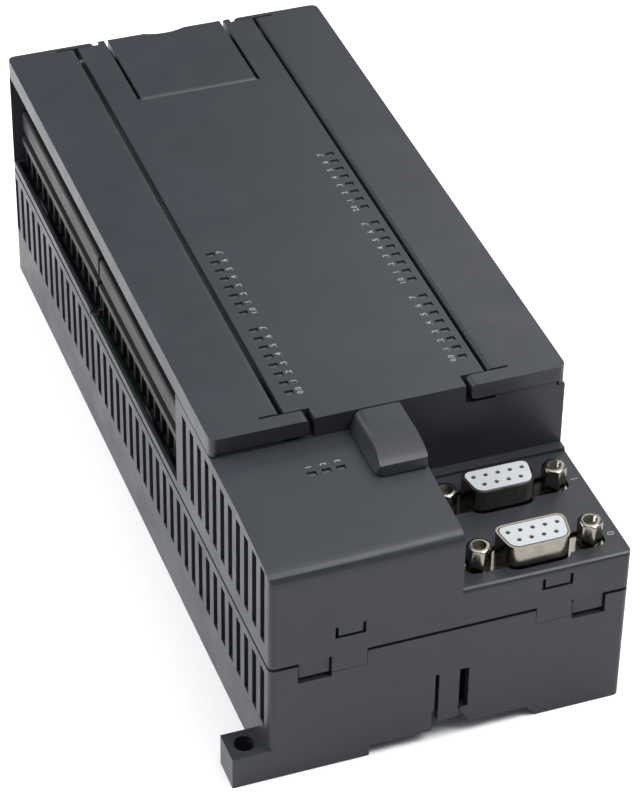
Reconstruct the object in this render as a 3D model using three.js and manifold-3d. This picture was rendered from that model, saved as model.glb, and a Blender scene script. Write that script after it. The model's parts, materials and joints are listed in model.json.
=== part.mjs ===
// Compact logic controller for a 35 mm rail, lying on its back.
// Millimetres. +X runs across the rail, +Y along it, +Z away from the wall.
// The origin is the centre of the back, on the mounting plane.

import * as THREE from 'three';
import { mergeVertices } from 'three/addons/utils/BufferGeometryUtils.js';
import Module from 'manifold-3d';

const wasm = await Module();
wasm.setup();

// ---------------------------------------------------------------- driving dimensions

const BODY = { halfWidth: 40, halfLength: 98, height: 62, cornerRadius: 1.5 };
const WALL = 2;
const FIT = 0.3; // clearance between neighbouring pieces
const SNUG = 0.1; // clearance round a snap tab or a light guide
const OVERCUT = 1; // how far a cutter runs past the face it opens

const SEAM = 30.7; // height of the joint between base and upper housing
const SEAM_GROOVE = { height: 0.5, depth: 0.8 }; // shadow line round the top edge of the base
const FLOOR_TOP = 4.7;
const RIM_TOP = 32.8; // low rim in front of the terminal plugs
const RIM_WALL = 0.8;
const DECK = 57; // raised deck at the near end
const PORT_DECK = 40.4; // lower deck that carries the two ports
const STEP_Y = -60; // face where the centre panel drops to the decks
const DECK_EDGE_X = 2; // side wall of the raised deck
const COLUMN = { halfWidth: 22.5, wall: 1.2 }; // ridge between the two doors
const BAY = { from: -36.5, to: 96.5 }; // terminal openings along Y

const VENT = { first: -93.6, pitch: 5.11, width: 2.6, lowCount: 38, highCount: 11 };
const LOW_VENT_Z = [12.6, 27.9];
const HIGH_VENT_Z = [35.5, 54.6];

const RAIL = { left: -17.7, right: 18.3, depth: 2.7, lead: 2.1 };
const EAR = { reach: 8, length: 8, height: 8.1, inset: 4, holeRadius: 2.3 };

const HINGE = { x: 20.6, z: 60.1, reach: 2.4, drop: 1.9, pin: 0.7, hole: 1, pinLength: 2.6 };
const DOOR = {
  innerX: 23.5,
  thickness: 2,
  lipThickness: 1.6,
  lipBottom: 57.3,
  barFrom: -60.3,
  barTo: -56.6,
  armFrom: 96.9,
  endLipFrom: 24.5,
  slit: 0.6,
  slitEnd: 28,
  cornerRadius: 2,
  innerRadius: 0.9,
};

const HATCH = { halfWidth: 14.5, opening: 15.4, hingeY: 70.6, hingeZ: 60.75, radius: 1.25, nearY: 69 };
const WELL = { wall: 1.4, floorTop: 52.6, floorBottom: 51.2, farY: 96.1 };

const LIGHT = { pitch: 3.3, perGroup: 8, width: 2, length: 1.4, depth: 0.5 };
const INPUT_LIGHTS = { x: 20.1, starts: [32.7, 2.9, -26.9] };
const OUTPUT_LIGHTS = { x: -19.1, starts: [2.9, -26.9] };
const STATUS_LIGHTS = { xs: [-21.5, -18.3, -15.1], y: -71.2 };

const BOARD = 1.6;
const POWER_BOARD_Z = 8;
const IO_BOARD_Z = 27.6;
const LOGIC_BOARD_Z = 46;
const LOGIC_TOP = LOGIC_BOARD_Z + BOARD + FIT;

const PLUG = { count: 13, pitch: 5, length: 65.2, centres: [-3.8, 62.7] };
const PLUG_TROUGH = { inner: 29.6, outer: 36.4, floor: 43.6, top: 47.3 };
const HEADER = { inner: 25.6, outer: 29.6, top: 35.2 };

const FLANGE = { halfX: 15.4, halfY: 4.4, bottom: 38.8, top: 39.6 };
const PORT = { x: 20.6, ys: [-91, -72], shellTop: 45.7, jackTop: 45.5, jackSpacing: 25, jackAcross: 4.7 };
const COVER = { left: -9.4, right: DECK_EDGE_X, far: -60.4, near: -77.2 };

// ------------------------------------------------------------------------- geometry

// A closed geometry as a solid that can be joined and cut.
function solidFrom(geometry) {
  geometry.deleteAttribute('normal');
  geometry.deleteAttribute('uv');
  const merged = mergeVertices(geometry, 1e-4);
  return new wasm.Manifold(
    new wasm.Mesh({
      numProp: 3,
      vertProperties: Float32Array.from(merged.attributes.position.array),
      triVerts: Uint32Array.from(merged.index.array),
    }),
  );
}

const join = (solids) => solids.reduce((sum, next) => sum.add(next));
const cut = (solid, cutters) => solid.subtract(join(cutters));

// A box given by its extent along each axis, the two ends in either order.
function block(xs, ys, zs) {
  const low = new THREE.Vector3(Math.min(...xs), Math.min(...ys), Math.min(...zs));
  const high = new THREE.Vector3(Math.max(...xs), Math.max(...ys), Math.max(...zs));
  const size = high.clone().sub(low);
  const centre = low.add(high).multiplyScalar(0.5);
  const geometry = new THREE.BoxGeometry(size.x, size.y, size.z);
  return solidFrom(geometry.translate(centre.x, centre.y, centre.z));
}

// Where an outline's two directions and its depth point for a prism along each axis.
const PRISM_AXES = {
  x: [new THREE.Vector3(0, 1, 0), new THREE.Vector3(0, 0, 1), new THREE.Vector3(1, 0, 0)],
  y: [new THREE.Vector3(1, 0, 0), new THREE.Vector3(0, 0, 1), new THREE.Vector3(0, -1, 0)],
  z: [new THREE.Vector3(1, 0, 0), new THREE.Vector3(0, 1, 0), new THREE.Vector3(0, 0, 1)],
};

// A prism along an axis: outlines are (Y, Z) along x, (X, Z) along y and (X, Y) along z.
function prism(axis, outline, from, to, curveSegments = 4) {
  const depth = to - from;
  const geometry = new THREE.ExtrudeGeometry(outline, { depth, bevelEnabled: false, curveSegments });
  geometry.applyMatrix4(new THREE.Matrix4().makeBasis(...PRISM_AXES[axis]));
  const start = axis === 'y' ? to : from;
  geometry.translate(axis === 'x' ? start : 0, axis === 'y' ? start : 0, axis === 'z' ? start : 0);
  return solidFrom(geometry);
}

const polygon = (points) => new THREE.Shape(points.map(([a, b]) => new THREE.Vector2(a, b)));

// A closed outline whose corners are rounded, each by the radius given for it.
function roundedPolygon(points, radii) {
  const corners = points.map(([a, b]) => new THREE.Vector2(a, b));
  const shape = new THREE.Shape();
  corners.forEach((corner, i) => {
    const before = corners[(i + corners.length - 1) % corners.length];
    const after = corners[(i + 1) % corners.length];
    const radius = Array.isArray(radii) ? radii[i] : radii;
    const start = corner.clone().add(before.clone().sub(corner).setLength(radius));
    const end = corner.clone().add(after.clone().sub(corner).setLength(radius));
    if (i === 0) shape.moveTo(start.x, start.y);
    else shape.lineTo(start.x, start.y);
    if (radius > 0) shape.quadraticCurveTo(corner.x, corner.y, end.x, end.y);
  });
  shape.closePath();
  return shape;
}

function roundedRectangle([x0, x1], [y0, y1], radius) {
  return roundedPolygon([[x0, y0], [x1, y0], [x1, y1], [x0, y1]], radius);
}

// A round bar along an axis, between two stations, centred at the other two coordinates.
function rod(axis, [a, b], radius, from, to, sides = 12) {
  const circle = new THREE.Shape();
  const corner = (i) => [
    a + radius * Math.cos((2 * Math.PI * (i + 0.5)) / sides),
    b + radius * Math.sin((2 * Math.PI * (i + 0.5)) / sides),
  ];
  circle.moveTo(...corner(0));
  for (let i = 1; i < sides; i += 1) circle.lineTo(...corner(i));
  circle.closePath();
  return prism(axis, circle, from, to);
}

const range = (count) => Array.from({ length: count }, (_, i) => i);

// The outline of the whole body seen from the front, drawn in by an inset.
function bodyOutline(inset, radius) {
  const x = BODY.halfWidth - inset;
  const y = BODY.halfLength - inset;
  return roundedRectangle([-x, x], [-y, y], radius);
}

// ------------------------------------------------------------------------- finishes

const FINISHES = {
  housing: { color: 0x4a4c50, roughness: 0.62, metalness: 0 },
  terminal: { color: 0x4a4d4e, roughness: 0.55, metalness: 0 },
  steel: { color: 0xb9b6ae, roughness: 0.3, metalness: 1 },
  brass: { color: 0xa8935e, roughness: 0.35, metalness: 1 },
  insulator: { color: 0xe8e9ea, roughness: 0.5, metalness: 0 },
  board: { color: 0x1f5a38, roughness: 0.5, metalness: 0 },
  component: { color: 0x1c1c1e, roughness: 0.45, metalness: 0 },
  guide: { color: 0x2b2d30, roughness: 0.25, metalness: 0 },
  trimmer: { color: 0x2f62a8, roughness: 0.45, metalness: 0 },
  core: { color: 0x6d6a63, roughness: 0.5, metalness: 0.8 },
  sleeve: { color: 0x262a3c, roughness: 0.4, metalness: 0 },
};

function piece(name, solid, finish) {
  const { vertProperties, triVerts } = solid.getMesh();
  const geometry = new THREE.BufferGeometry();
  geometry.setAttribute('position', new THREE.BufferAttribute(vertProperties, 3));
  geometry.setIndex(new THREE.BufferAttribute(triVerts, 1));
  geometry.computeVertexNormals();
  const mesh = new THREE.Mesh(geometry, new THREE.MeshStandardMaterial(FINISHES[finish]));
  mesh.name = name;
  return mesh;
}

function groupOf(...pieces) {
  const group = new THREE.Group();
  group.add(...pieces);
  return group;
}

// --------------------------------------------------------------------- base housing

const SNAP = {
  window: [[-33.8, -26.4], [27.2, 34.7]],
  tab: [[-26.4, -18.7], [19, 26.9]],
  windowBottom: 25.4,
  tabBottom: 26.4,
};

// Slots through a side wall, in step with the pitch of the whole row.
function ventSlots(side, count, [bottom, top]) {
  const inner = BODY.halfWidth - WALL - 0.5;
  const outer = BODY.halfWidth + OVERCUT;
  return range(count).map((i) => {
    const y = VENT.first + i * VENT.pitch;
    return block([side * inner, side * outer], [y - VENT.width / 2, y + VENT.width / 2], [bottom, top]);
  });
}

// One screw ear on a corner, standing out from a side wall.
function ear(side) {
  const outer = BODY.halfWidth + EAR.reach;
  const tip = BODY.halfLength - EAR.length;
  const plate = block(
    [side * (BODY.halfWidth - WALL), side * outer],
    [side * tip, side * BODY.halfLength],
    [0, EAR.height],
  );
  const centre = [side * (outer - EAR.inset), side * (BODY.halfLength - EAR.inset)];
  return cut(plate, [rod('z', centre, EAR.holeRadius, -OVERCUT, EAR.height + OVERCUT, 16)]);
}

// Hollows under the feet, between ribs, leaving solid pads at the corners.
function footHollows() {
  const pitch = 34;
  const half = pitch / 2 - 1;
  const depth = 2;
  const hollows = [];
  for (let cell = -2; cell <= 2; cell += 1) {
    const ys = [cell * pitch - half, cell * pitch + half];
    hollows.push(block([-BODY.halfWidth + WALL, RAIL.left - WALL], ys, [-OVERCUT, depth]));
    if (cell !== 0) {
      const inner = RAIL.right + RAIL.lead + WALL;
      hollows.push(block([inner, BODY.halfWidth - WALL], ys, [-OVERCUT, depth]));
    }
  }
  return hollows;
}

// The spring tongue in each end wall, freed by a narrow and a wide slot.
function tongueCuts(end) {
  const through = [end * (BODY.halfLength - WALL - 0.5), end * (BODY.halfLength + OVERCUT)];
  const [yFrom, yTo] = [Math.min(...through), Math.max(...through)];
  const ramp = polygon([[2.3, 2], [2.3, 6.8], [2.8, 6.8], [5, RAIL.depth], [5, 2]]);
  return [
    block([-3.2, -2.3], through, [2, 18.5]),
    block([-3.7, -2.6], through, [2, 8.3]),
    block([2.3, 4.4], through, [7.6, 18.5]),
    block([2.3, 2.8], through, [6, 8]),
    prism('y', ramp, yFrom, yTo),
    block([-3.2, 2.6], [end * (BODY.halfLength - 5), end * (BODY.halfLength + OVERCUT)], [2, 5.2]),
  ];
}

// Notches in the rim of an end wall: a window beside each tab of the upper housing.
function snapNotches(end) {
  const through = [end * (BODY.halfLength - WALL - 0.5), end * (BODY.halfLength + OVERCUT)];
  const windows = SNAP.window.map((xs) => block(xs, through, [SNAP.windowBottom, SEAM + OVERCUT]));
  const tabs = SNAP.tab.map(([x0, x1]) =>
    block([x0 - SNUG, x1 + SNUG], through, [SNAP.tabBottom, SEAM + OVERCUT]),
  );
  return [...windows, ...tabs];
}

const CLIP = { halfWidth: 8, wing: 1.6, nose: 16, bottom: 0.3, step: 1.5, top: 3 };

// The way that the rail clip slides in, open at the side wall and at the rail.
function clipChannel() {
  const xs = [RAIL.right - 2, BODY.halfWidth + OVERCUT];
  const narrow = CLIP.halfWidth + FIT;
  const wide = narrow + CLIP.wing;
  return [
    block(xs, [-narrow, narrow], [-OVERCUT, CLIP.step + FIT]),
    block(xs, [-wide, wide], [CLIP.step - FIT, CLIP.top + FIT]),
  ];
}

// The ring cut off the outer top edge of the base, so the joint reads as a dark line.
function seamGroove(rimZ) {
  const { height, depth } = SEAM_GROOVE;
  const bottom = rimZ - height;
  const band = prism('z', bodyOutline(-OVERCUT, BODY.cornerRadius), bottom, rimZ + OVERCUT);
  const kept = prism('z', bodyOutline(depth, 0.5), bottom - OVERCUT, rimZ + 2 * OVERCUT);
  return cut(band, [kept]);
}

function baseHousing() {
  const rimZ = SEAM - FIT / 2;
  const shell = prism('z', bodyOutline(0, BODY.cornerRadius), 0, rimZ);
  const inside = prism('z', bodyOutline(WALL, 0.5), FLOOR_TOP, SEAM + OVERCUT);
  const railSlot = polygon([
    [RAIL.left, -OVERCUT],
    [RAIL.left, RAIL.depth],
    [RAIL.right, RAIL.depth],
    [RAIL.right + RAIL.lead, 0],
    [RAIL.right + RAIL.lead, -OVERCUT],
  ]);
  const end = BODY.halfLength + OVERCUT;
  const hollowed = cut(shell, [
    inside,
    seamGroove(rimZ),
    prism('y', railSlot, -end, end),
    ...footHollows(),
    ...clipChannel(),
    ...[-1, 1].flatMap((side) => ventSlots(side, VENT.lowCount, LOW_VENT_Z)),
    ...[-1, 1].flatMap((side) => [...tongueCuts(side), ...snapNotches(side)]),
  ]);
  const boardPosts = [-34, 34].flatMap((x) =>
    [-88, 0, 88].map((y) => rod('z', [x, y], 2.5, FLOOR_TOP - FIT, IO_BOARD_Z - FIT, 8)),
  );
  const boardRibs = [-52, 52].map((y) => block([-28, 28], [y - 1, y + 1], [FLOOR_TOP - FIT, POWER_BOARD_Z - FIT]));
  const railHooks = [-66, 66].map((y) => block([RAIL.left - 1, RAIL.left + 2], [y - 5, y + 5], [0.3, 1.4]));
  return join([hollowed, ear(-1), ear(1), ...boardPosts, ...boardRibs, ...railHooks]);
}

// The sliding latch that holds the rail, with a nose under its lip and a pull slot outside.
function railClip() {
  const outside = BODY.halfWidth + 3.4;
  const back = BODY.halfWidth - WALL;
  const nose = polygon([
    [CLIP.nose, CLIP.bottom],
    [CLIP.nose + 1.2, CLIP.step],
    [RAIL.right, CLIP.step],
    [RAIL.right, CLIP.bottom],
  ]);
  const tongue = block([RAIL.right - FIT, outside], [-CLIP.halfWidth, CLIP.halfWidth], [CLIP.bottom, CLIP.step]);
  const wings = block(
    [RAIL.right + RAIL.lead, back],
    [-CLIP.halfWidth - CLIP.wing, CLIP.halfWidth + CLIP.wing],
    [CLIP.step - 0.001, CLIP.top],
  );
  const grip = block([back - 1, outside], [-CLIP.halfWidth, CLIP.halfWidth], [CLIP.bottom, CLIP.top]);
  const driverSlot = block([BODY.halfWidth + 0.9, BODY.halfWidth + 2.2], [-3, 3], [-OVERCUT, CLIP.top + OVERCUT]);
  const noseBar = prism('y', nose, -CLIP.halfWidth, CLIP.halfWidth);
  return cut(join([noseBar, tongue, wings, grip]), [driverSlot]);
}

// -------------------------------------------------------------------- upper housing

// Side view of the raised deck: a gentle fall to a rounded near edge.
function raisedDeckOutline(inset) {
  const near = -BODY.halfLength + inset;
  const top = DECK - inset;
  return roundedPolygon(
    [[near, SEAM], [near, top - 1.8], [-78, top], [-50, top], [-50, SEAM]],
    [0, inset ? 1 : 3.2, 0, 0, 0],
  );
}

function portDeckOutline() {
  const near = -BODY.halfLength;
  return roundedPolygon(
    [[near, SEAM], [near, PORT_DECK], [STEP_Y + WALL, PORT_DECK], [STEP_Y + WALL, SEAM]],
    [0, 1.4, 0, 0],
  );
}

// Everything outside the doors, before the inside is taken out.
function upperOuter() {
  const low = SEAM + FIT / 2;
  const { halfWidth, halfLength, height } = BODY;
  const shoulder = halfWidth - DOOR.lipThickness - FIT;
  const outer = join([
    block([-halfWidth, halfWidth], [-halfLength, halfLength], [low, RIM_TOP]),
    prism('x', raisedDeckOutline(0), -halfWidth, DECK_EDGE_X),
    prism('x', portDeckOutline(), 0, halfWidth),
    block([-halfWidth, halfWidth], [STEP_Y, BAY.from], [low, DECK]),
    block([-shoulder, shoulder], [STEP_Y, DOOR.barTo], [low, 57.9]),
    block([-COLUMN.halfWidth, COLUMN.halfWidth], [STEP_Y, halfLength], [low, height]),
    block([-halfWidth, halfWidth], [BAY.to, halfLength], [low, DECK]),
    // a sill along the foot of the step face
    block([0, halfWidth], [STEP_Y - 2.4, STEP_Y], [SEAM, PORT_DECK + 0.8]),
  ]);
  const envelope = prism('z', bodyOutline(0, BODY.cornerRadius), low, height);
  return outer.intersect(envelope);
}

function upperInside() {
  const x = BODY.halfWidth - WALL;
  const y = BODY.halfLength - WALL;
  const columnX = COLUMN.halfWidth - COLUMN.wall;
  const low = SEAM - OVERCUT;
  return [
    prism('x', raisedDeckOutline(WALL), -x, DECK_EDGE_X - WALL),
    block([-x, x], [-y, STEP_Y + WALL], [low, PORT_DECK - WALL]),
    block([-x, x], [STEP_Y + WALL, BAY.from - WALL], [low, DECK - WALL]),
    block([-columnX, columnX], [STEP_Y + WALL, y], [low, BODY.height - WALL]),
  ];
}

// Solid corners of the centre panel that hold the door pins.
function hingeBosses() {
  const xs = (side) => [side * (HINGE.x - 5.2), side * COLUMN.halfWidth];
  const zs = [HINGE.z - 4.4, BODY.height];
  return [-1, 1].flatMap((side) => [
    block(xs(side), [STEP_Y, DOOR.barTo + 4.4], zs),
    block(xs(side), [BAY.to - 4.4, BODY.halfLength], zs),
  ]);
}

// Notches that the door knuckles turn in, and the holes for their pins.
function hingeCuts() {
  const top = BODY.height + OVERCUT;
  const notchEnd = HINGE.x - HINGE.reach - 1.2;
  const notchFloor = HINGE.z - HINGE.drop - 1;
  return [-1, 1].flatMap((side) => {
    const notch = polygon([
      [side * notchEnd, top],
      [side * notchEnd, notchFloor],
      [side * (DOOR.innerX + 0.4), notchFloor],
      [side * (DOOR.innerX + 0.4), top],
    ]);
    const centre = [side * HINGE.x, HINGE.z];
    const near = DOOR.barTo + FIT;
    const far = DOOR.armFrom - FIT;
    return [
      prism('y', notch, STEP_Y - OVERCUT, near),
      prism('y', notch, far, BODY.halfLength + OVERCUT),
      rod('y', centre, HINGE.hole, near - FIT, near + HINGE.pinLength, 12),
      rod('y', centre, HINGE.hole, far - HINGE.pinLength, far + FIT, 12),
    ];
  });
}

function lightWindow([x, y], [bottom, top]) {
  return block(
    [x - LIGHT.width / 2, x + LIGHT.width / 2],
    [y - LIGHT.length / 2, y + LIGHT.length / 2],
    [bottom, top],
  );
}

// Centres of one group's windows, counted from its far end.
function lightCentres(x, start) {
  return range(LIGHT.perGroup).map((i) => [x, start - i * LIGHT.pitch]);
}

function lightWindows() {
  const throughTop = [BODY.height - WALL - OVERCUT, BODY.height + OVERCUT];
  const throughDeck = [DECK - WALL - OVERCUT, DECK + OVERCUT];
  const rows = [INPUT_LIGHTS, OUTPUT_LIGHTS].flatMap(({ x, starts }) =>
    starts.flatMap((start) => lightCentres(x, start)),
  );
  return [
    ...rows.map((centre) => lightWindow(centre, throughTop)),
    ...STATUS_LIGHTS.xs.map((x) => lightWindow([x, STATUS_LIGHTS.y], throughDeck)),
  ];
}

const WELL_PARTS = {
  lever: { x: 9, y: 90, travel: 2.6 },
  trimmers: { xs: [-10.5, -3], y: 90, radius: 2.1 },
  header: { y: 79, halfX: 9.6, halfY: 4 },
};

// The tray under the hatch, hung from the centre panel, with its walls and its floor.
function hatchWell() {
  const outer = HATCH.opening + WELL.wall;
  return block(
    [-outer, outer],
    [HATCH.nearY - WELL.wall, BODY.halfLength - WALL],
    [WELL.floorBottom, BODY.height - WALL],
  );
}

function hatchCuts() {
  const { lever, trimmers, header } = WELL_PARTS;
  const floor = [WELL.floorBottom - OVERCUT, WELL.floorTop + OVERCUT];
  const top = BODY.height + OVERCUT;
  const pinHoles = [-1, 1].map((side) => {
    const ends = [side * (HATCH.opening - FIT), side * (HATCH.opening + 1)];
    return rod('x', [HATCH.hingeY, HATCH.hingeZ], 0.9, Math.min(...ends), Math.max(...ends), 12);
  });
  return [
    block([-HATCH.opening, HATCH.opening], [HATCH.nearY, WELL.farY], [WELL.floorTop, top]),
    block([-HATCH.opening, HATCH.opening], [WELL.farY - FIT, BODY.halfLength + OVERCUT], [56.7, top]),
    block([lever.x - 4.2, lever.x + 4.2], [lever.y - 1.2, lever.y + 1.2], floor),
    block(
      [-header.halfX - FIT, header.halfX + FIT],
      [header.y - header.halfY - FIT, header.y + header.halfY + FIT],
      floor,
    ),
    ...trimmers.xs.map((x) => rod('z', [x, trimmers.y], trimmers.radius + 0.4, ...floor, 16)),
    ...pinHoles,
  ];
}

// Where the terminal plugs reach down to their headers, two to a side, behind a thin rim
// that is nicked where the two meet.
function terminalOpenings() {
  const half = PLUG.length / 2 + FIT;
  const zs = [SEAM - OVERCUT, RIM_TOP + OVERCUT];
  const meeting = (PLUG.centres[0] + PLUG.centres[1]) / 2;
  return [-1, 1].flatMap((side) => [
    ...PLUG.centres.map((y) =>
      block([side * (HEADER.inner - FIT), side * (BODY.halfWidth - RIM_WALL)], [y - half, y + half], zs),
    ),
    block(
      [side * (BODY.halfWidth - RIM_WALL - OVERCUT), side * (BODY.halfWidth + OVERCUT)],
      [meeting - 0.6, meeting + 0.6],
      [SEAM + 0.9, RIM_TOP + OVERCUT],
    ),
  ]);
}

// Openings in the lower deck: a D for each shell, a slot for its jack screws, and a
// pocket from below that lets the flange lie close under the surface.
function portOpenings() {
  const [low, high] = [PORT_DECK - WALL - OVERCUT, PORT_DECK + OVERCUT];
  const { halfX, halfY, top } = FLANGE;
  return PORT.ys.map((y) => {
    const opening = join([
      prism('z', portOutline(-0.5, 2.8), low, high),
      prism('z', roundedRectangle([-15.7, 15.7], [-2.9, 2.9], 2.4), low, high),
      block([-halfX - FIT, halfX + FIT], [-halfY - FIT, halfY + FIT], [low, top + FIT]),
    ]);
    return opening.translate(PORT.x, y, 0);
  });
}

// Thin U-shaped cuts that free a spring tab in each end wall.
function springTabCuts(end) {
  const through = [end * (BODY.halfLength - WALL - 0.5), end * (BODY.halfLength + OVERCUT)];
  const line = 0.7;
  const [bottom, top] = [35.4, 38.4];
  return [[-25.8, -19.1], [19.9, 26.8]].flatMap(([x0, x1]) => [
    block([x0, x1], through, [bottom, bottom + line]),
    block([x0, x0 + line], through, [bottom, top]),
    block([x1 - line, x1], through, [bottom, top]),
  ]);
}

// Tabs that hang from the end walls into the base: a flush one and a set-back hook.
function snapTabs(end) {
  const outer = end * BODY.halfLength;
  const recessed = end * (BODY.halfLength - 0.7);
  const inner = end * (BODY.halfLength - WALL);
  return [
    ...SNAP.tab.map((xs) => block(xs, [inner, outer], [SNAP.tabBottom + SNUG, SEAM + OVERCUT])),
    ...SNAP.window.map(([x0, x1]) =>
      block([x0 + 0.4, x1 - 0.4], [inner, recessed], [SNAP.windowBottom + 0.9, SEAM + OVERCUT]),
    ),
  ];
}

const CARTRIDGE_OPENING = { xs: [-6.6, -0.3], ys: [-74, -62.4] };

function upperHousing() {
  const shell = cut(upperOuter(), upperInside());
  const logicPosts = [-15, 15].flatMap((x) =>
    [-46, 60].map((y) => rod('z', [x, y], 2, LOGIC_TOP, BODY.height - OVERCUT, 8)),
  );
  const filled = join([
    shell,
    ...hingeBosses(),
    hatchWell(),
    ...logicPosts,
    ...[-1, 1].flatMap(snapTabs),
  ]);
  return cut(filled, [
    ...hingeCuts(),
    ...hatchCuts(),
    ...lightWindows(),
    ...terminalOpenings(),
    ...portOpenings(),
    ...[-1, 1].flatMap(springTabCuts),
    ...ventSlots(-1, VENT.highCount, HIGH_VENT_Z),
    ...ventSlots(1, VENT.highCount, HIGH_VENT_Z).slice(7),
    block(CARTRIDGE_OPENING.xs, CARTRIDGE_OPENING.ys, [DECK - WALL - OVERCUT, DECK + OVERCUT]),
  ]);
}

// ------------------------------------------------------------------ doors and covers

// A terminal door: a lid with a lip over the side wall, a bar at the near end and a thin
// arm with a lip over the end wall at the far end. Bar and arm each have a rounded knuckle
// and a pin on the hinge axis.
function door(side) {
  const top = BODY.height;
  const { halfWidth, halfLength } = BODY;
  const lidBottom = top - DOOR.thickness;
  const bar = roundedPolygon(
    [
      [side * halfWidth, top],
      [side * (HINGE.x - HINGE.reach), top],
      [side * (HINGE.x - HINGE.reach), HINGE.z - HINGE.drop],
      [side * halfWidth, HINGE.z - HINGE.drop],
    ],
    [0, 1.3, 1.3, 0],
  );
  const lid = roundedPolygon(
    [
      [side * DOOR.innerX, lidBottom],
      [side * halfWidth, lidBottom],
      [side * halfWidth, top],
      [side * DOOR.innerX, top],
    ],
    [0, 0, 0, DOOR.innerRadius],
  );
  const outer = join([
    prism('y', lid, DOOR.barTo + DOOR.slit, DOOR.armFrom - DOOR.slit),
    block([side * DOOR.slitEnd, side * halfWidth], [DOOR.barFrom, halfLength], [lidBottom, top]),
    block(
      [side * (halfWidth - DOOR.lipThickness), side * halfWidth],
      [DOOR.barFrom, halfLength],
      [DOOR.lipBottom, top],
    ),
    prism('y', bar, DOOR.barFrom, DOOR.barTo, 5),
    prism('y', bar, DOOR.armFrom, halfLength, 5),
    block([side * DOOR.endLipFrom, side * halfWidth], [DOOR.armFrom, halfLength], [DOOR.lipBottom, top]),
  ]);
  const corners = roundedRectangle([-halfWidth, halfWidth], [DOOR.barFrom, halfLength], DOOR.cornerRadius);
  const envelope = prism('z', corners, DOOR.lipBottom - OVERCUT, top);
  const centre = [side * HINGE.x, HINGE.z];
  const pins = [
    rod('y', centre, HINGE.pin, DOOR.barTo - 0.5, DOOR.barTo + HINGE.pinLength, 12),
    rod('y', centre, HINGE.pin, DOOR.armFrom - HINGE.pinLength, DOOR.armFrom + 0.5, 12),
  ];
  return join([outer.intersect(envelope), ...pins]);
}

// The hatch over the tray: rounded about its pins at one end, a lip with a thumb dip at the other.
function accessHatch() {
  const { halfWidth, hingeY, hingeZ, radius } = HATCH;
  const top = BODY.height;
  const far = BODY.halfLength;
  const profile = new THREE.Shape();
  profile.moveTo(far, top);
  profile.lineTo(hingeY, top);
  profile.absarc(hingeY, hingeZ, radius, Math.PI / 2, (3 * Math.PI) / 2, false);
  profile.lineTo(hingeY + 2, hingeZ - radius);
  profile.lineTo(hingeY + 3, top - 1.6);
  profile.lineTo(far - 1.6, top - 1.6);
  profile.lineTo(far - 1.6, DECK);
  profile.lineTo(far, DECK);
  profile.closePath();
  const thumbRadius = 13;
  const pins = [-1, 1].map((side) => {
    const ends = [side * (halfWidth - 0.5), side * (HATCH.opening + 0.8)];
    return rod('x', [hingeY, hingeZ], 0.6, Math.min(...ends), Math.max(...ends), 12);
  });
  const lid = prism('x', profile, -halfWidth, halfWidth, 8);
  const thumb = rod('z', [0, far + thumbRadius - 1.1], thumbRadius, DECK - OVERCUT, top + OVERCUT, 60);
  return join([cut(lid, [thumb]), ...pins]);
}

// The arched cover over the memory cartridge socket, with a plug that grips the deck opening.
function cartridgeCover() {
  const { left, right, far, near } = COVER;
  const bottom = DECK + FIT;
  const arch = new THREE.Shape();
  arch.moveTo(far, bottom);
  arch.lineTo(far, BODY.height);
  arch.quadraticCurveTo(near + 4, BODY.height, near + 0.5, 59.6);
  arch.lineTo(near, bottom);
  arch.closePath();
  const plan = roundedPolygon(
    [[left, far], [left, near], [right, near], [right, far]],
    [0.4, 2.2, 1.2, 0.4],
  );
  const crown = roundedPolygon(
    [[left, bottom], [left + 1.4, BODY.height], [right, BODY.height], [right, bottom]],
    [0, 1.6, 0.8, 0],
  );
  const dome = prism('x', arch, left, right, 12)
    .intersect(prism('z', plan, bottom - OVERCUT, BODY.height + OVERCUT, 5))
    .intersect(prism('y', crown, near - OVERCUT, far + OVERCUT, 5));
  const [x0, x1] = CARTRIDGE_OPENING.xs;
  const [y0, y1] = CARTRIDGE_OPENING.ys;
  const plug = block([x0 + FIT, x1 - FIT], [y0 + FIT, y1 - FIT], [DECK - WALL - 1.5, bottom + OVERCUT]);
  return join([dome, plug]);
}

// ------------------------------------------------------------------------ terminals

// One removable strip of screw terminals, along Y about its own centre. Its inner part sits
// on the header and its outer part hangs in front of it, with the wire entries. The screws
// stand in a trough behind the thin front wall.
function terminalPlug(side) {
  const bottom = IO_BOARD_Z + BOARD + FIT;
  const { inner, outer, floor, top } = PLUG_TROUGH;
  const profile = [
    [24.2, HEADER.top + FIT],
    [HEADER.outer + FIT, HEADER.top + FIT],
    [HEADER.outer + FIT, bottom],
    [37.2, bottom],
    [37.2, 38.4],
    [38, 38.6],
    [38, 40.5],
    [36.6, 40.7],
    [36.6, 42.2],
    [37.6, 42.4],
    [37.6, 46.9],
    [37.2, top],
    [outer, top],
    [outer, floor],
    [inner, floor],
    [inner, top],
    [24.2, top],
  ];
  const outline = polygon(profile.map(([x, z]) => [side * x, z]));
  const strip = prism('y', outline, -PLUG.length / 2, PLUG.length / 2);
  const stations = range(PLUG.count).map((i) => (i - (PLUG.count - 1) / 2) * PLUG.pitch);
  const wireEntries = stations.map((y) => block([side * 31, side * 39], [y - 1.9, y + 1.9], [bottom + 0.8, 38]));
  const screwWells = stations.map((y) => rod('z', [side * 32.6, y], 2, 42.6, floor + OVERCUT, 10));
  return cut(strip, [...wireEntries, ...screwWells]);
}

function terminalHeader(side) {
  const half = PLUG.length / 2 - 1;
  const zs = [IO_BOARD_Z + BOARD + FIT, HEADER.top];
  return block([side * HEADER.inner, side * HEADER.outer], [-half, half], zs);
}

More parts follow.
